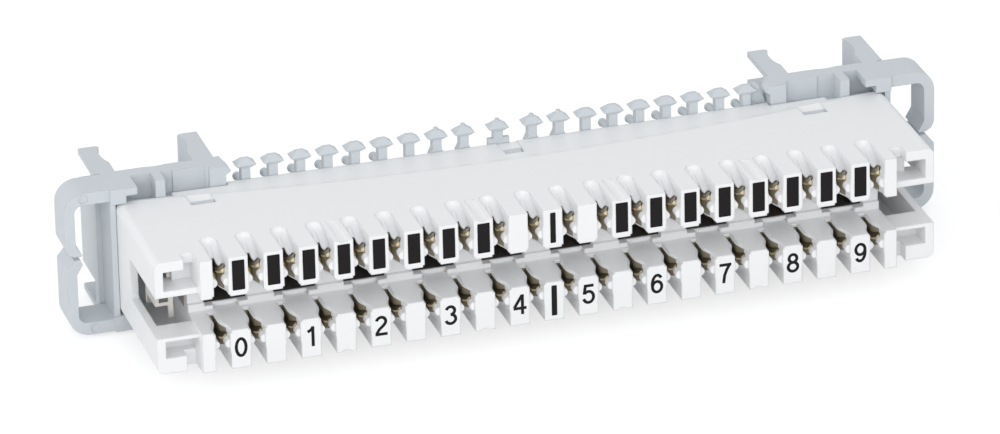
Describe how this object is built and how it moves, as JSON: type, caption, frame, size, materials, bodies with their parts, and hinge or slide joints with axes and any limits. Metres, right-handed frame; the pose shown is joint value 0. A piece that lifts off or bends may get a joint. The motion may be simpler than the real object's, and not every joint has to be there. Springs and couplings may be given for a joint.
{
  "type": "punch down wiring block",
  "caption": "Punch down block: two rows of insulating teeth with split contacts on a base with rod clips, wire guide posts and end rings.",
  "frame": {"origin": "centre of the whole block's bounding box", "axes": "+X along the rows of contacts, +Y from the teeth to the rod clips, +Z from the lower row to the upper row"},
  "size_m": [0.1228, 0.0352, 0.0214],
  "materials": {
    "housing_plastic": "white moulded plastic with a satin sheen",
    "base_plastic": "light grey moulded plastic",
    "contact_metal": "plated brass strip, dull"
  },
  "bodies": {
    "root": {"wire_base": "base_plastic", "terminal_housing": "housing_plastic", "left_earth_contact": "contact_metal", "upper_contact_1": "contact_metal", "upper_contact_2": "contact_metal", "upper_contact_3": "contact_metal", "upper_contact_4": "contact_metal", "upper_contact_5": "contact_metal", "upper_contact_6": "contact_metal", "upper_contact_7": "contact_metal", "upper_contact_8": "contact_metal", "upper_contact_9": "contact_metal", "upper_contact_10": "contact_metal", "upper_contact_11": "contact_metal", "upper_contact_12": "contact_metal", "upper_contact_13": "contact_metal", "upper_contact_14": "contact_metal", "upper_contact_15": "contact_metal", "upper_contact_16": "contact_metal", "upper_contact_17": "contact_metal", "upper_contact_18": "contact_metal", "upper_contact_19": "contact_metal", "upper_contact_20": "contact_metal", "lower_contact_1": "contact_metal", "lower_contact_2": "contact_metal", "lower_contact_3": "contact_metal", "lower_contact_4": "contact_metal", "lower_contact_5": "contact_metal", "lower_contact_6": "contact_metal", "lower_contact_7": "contact_metal", "lower_contact_8": "contact_metal", "lower_contact_9": "contact_metal", "lower_contact_10": "contact_metal", "lower_contact_11": "contact_metal", "lower_contact_12": "contact_metal", "lower_contact_13": "contact_metal", "lower_contact_14": "contact_metal", "lower_contact_15": "contact_metal", "lower_contact_16": "contact_metal", "lower_contact_17": "contact_metal", "lower_contact_18": "contact_metal", "lower_contact_19": "contact_metal", "lower_contact_20": "contact_metal"}
  },
  "joints": []
}
